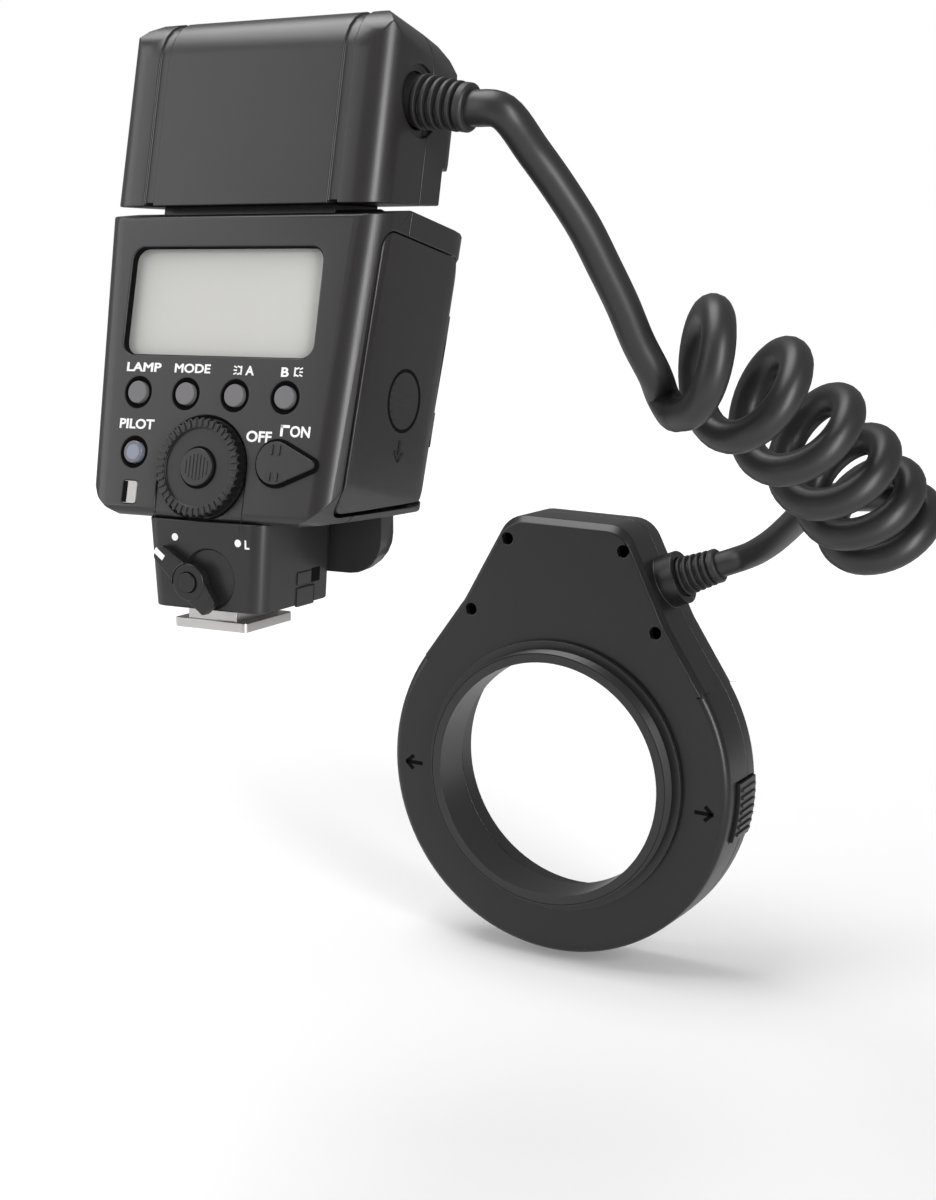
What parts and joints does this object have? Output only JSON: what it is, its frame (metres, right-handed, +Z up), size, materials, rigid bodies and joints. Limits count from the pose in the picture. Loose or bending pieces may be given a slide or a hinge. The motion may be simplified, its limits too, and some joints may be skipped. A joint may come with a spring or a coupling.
{
  "type": "macro ring flash",
  "caption": "Macro ring flash: a shoe-mounted control unit with screen, dial and battery door, joined by a curly cord to a ring-shaped flash head that fits around a lens.",
  "frame": {"origin": "centre of the underside of the sliding foot", "axes": "+Z up, +Y along the lens axis towards the subject, +X to the right seen from behind"},
  "size_m": [0.1853, 0.2031, 0.259],
  "materials": {
    "plastic": "fine matte grain, charcoal",
    "dark_plastic": "matte, dark grey",
    "black_plastic": "matte, near black",
    "key_plastic": "smooth, grey",
    "red_key": "translucent, dark red",
    "rubber": "semi-gloss",
    "steel": "brushed",
    "spring_metal": "plated",
    "gold": "plated",
    "clear_pane": "clear",
    "display": "warm grey liquid crystal",
    "red_window": "dark red, translucent",
    "diffuser": "milky, ribbed inside",
    "lamp_glass": "clear",
    "reflector": "bright",
    "board": "laminate",
    "cell": "sleeved",
    "capacitor": "sleeved can"
  },
  "bodies": {
    "flash": {"rear_shell": "plastic", "front_shell": "plastic", "chin_housing": "plastic", "assist_window": "red_window", "neck_block": "black_plastic", "head_rear_shell": "plastic", "head_front_shell": "plastic", "main_capacitor": "capacitor", "screen_window": "clear_pane", "screen_module": "display", "indicator_window": "clear_pane", "main_board": "board", "battery_cage": "dark_plastic", "battery_cell_1": "cell", "battery_cell_2": "cell", "battery_cell_3": "cell", "battery_cell_4": "cell", "battery_contacts": "spring_metal", "door_hinge_pin": "steel", "shoe_block": "dark_plastic", "foot_plate": "steel", "foot_contacts": "gold", "foot_screws": "steel", "head_strain_relief": "rubber", "cord_lead": "rubber", "cord_coil": "rubber", "cord_tail": "rubber", "ring_strain_relief": "rubber", "ring_rear_shell": "black_plastic", "ring_front_shell": "dark_plastic", "ring_reflector": "reflector", "flash_tube_a": "lamp_glass", "flash_tube_b": "lamp_glass", "lamp_cover_a": "diffuser", "lamp_cover_b": "diffuser", "focus_lamps": "diffuser", "ring_board": "board", "ring_screws": "steel"},
    "battery_door": {"battery_door": "plastic"},
    "lamp_button": {"lamp_button": "key_plastic"},
    "mode_button": {"mode_button": "key_plastic"},
    "ratio_button": {"ratio_button": "key_plastic"},
    "balance_button": {"balance_button": "key_plastic"},
    "test_button": {"test_button": "red_key"},
    "dial": {"dial": "black_plastic"},
    "dial_button": {"dial_button": "black_plastic"},
    "power_switch": {"power_switch": "dark_plastic"},
    "lock_lever": {"lock_lever": "black_plastic"},
    "lock_button": {"lock_button": "black_plastic"},
    "lock_pin": {"lock_pin": "steel"},
    "release_slider_a": {"release_slider_a": "dark_plastic"},
    "release_slider_b": {"release_slider_b": "dark_plastic"},
    "adapter_ring": {"adapter_ring": "dark_plastic"}
  },
  "joints": [
    {"name": "lamp_button_press", "type": "slide", "parent": "flash", "child": "lamp_button", "axis": [0, 0.9744, -0.225], "range_m": [0, 0.0008], "stiffness_N_per_m": 400},
    {"name": "mode_button_press", "type": "slide", "parent": "flash", "child": "mode_button", "axis": [0, 0.9744, -0.225], "range_m": [0, 0.0008], "stiffness_N_per_m": 400},
    {"name": "ratio_button_press", "type": "slide", "parent": "flash", "child": "ratio_button", "axis": [0, 0.9744, -0.225], "range_m": [0, 0.0008], "stiffness_N_per_m": 400},
    {"name": "balance_button_press", "type": "slide", "parent": "flash", "child": "balance_button", "axis": [0, 0.9744, -0.225], "range_m": [0, 0.0008], "stiffness_N_per_m": 400},
    {"name": "test_button_press", "type": "slide", "parent": "flash", "child": "test_button", "axis": [0, 0.9744, -0.225], "range_m": [0, 0.0008], "stiffness_N_per_m": 400},
    {"name": "dial_turn", "type": "hinge", "parent": "flash", "child": "dial", "pos_m": [-0.0014, -0.00873, 0.03451], "axis": [0, 0.9744, -0.225], "continuous": true},
    {"name": "dial_button_press", "type": "slide", "parent": "dial", "child": "dial_button", "axis": [0, 0.9744, -0.225], "range_m": [0, 0.0006], "stiffness_N_per_m": 500},
    {"name": "power_switch_turn", "type": "hinge", "parent": "flash", "child": "power_switch", "pos_m": [0.0173, -0.0083, 0.03637], "axis": [0, -0.9744, 0.225], "range_deg": [0, 45]},
    {"name": "battery_door_swing", "type": "hinge", "parent": "flash", "child": "battery_door", "pos_m": [0.03, 0.03762, 0.06045], "axis": [0.0523, 0.2246, 0.973], "range_deg": [0, 95]},
    {"name": "lock_lever_turn", "type": "hinge", "parent": "flash", "child": "lock_lever", "pos_m": [-0.0025, -0.0105, 0.0106], "axis": [0, 1, 0], "range_deg": [0, 95]},
    {"name": "lock_button_press", "type": "slide", "parent": "lock_lever", "child": "lock_button", "axis": [0, 1, 0], "range_m": [0, 0.0008], "stiffness_N_per_m": 400},
    {"name": "lock_pin_drop", "type": "slide", "parent": "flash", "child": "lock_pin", "axis": [0, 0, -1], "range_m": [0, 0.0018]},
    {"name": "release_a_push", "type": "slide", "parent": "flash", "child": "release_slider_a", "axis": [-0.9994, 0, 0.0349], "range_m": [0, 0.0015], "stiffness_N_per_m": 400},
    {"name": "release_b_push", "type": "slide", "parent": "flash", "child": "release_slider_b", "axis": [0.9994, 0, -0.0349], "range_m": [0, 0.0015], "stiffness_N_per_m": 400},
    {"name": "adapter_turn", "type": "hinge", "parent": "flash", "child": "adapter_ring", "pos_m": [0, 0.1648, -0.0733], "axis": [0, 1, 0], "continuous": true}
  ],
  "couplings": [
    {"joint": "lock_lever_turn", "follows": "lock_pin_drop", "rad_per_m": 921.14}
  ]
}
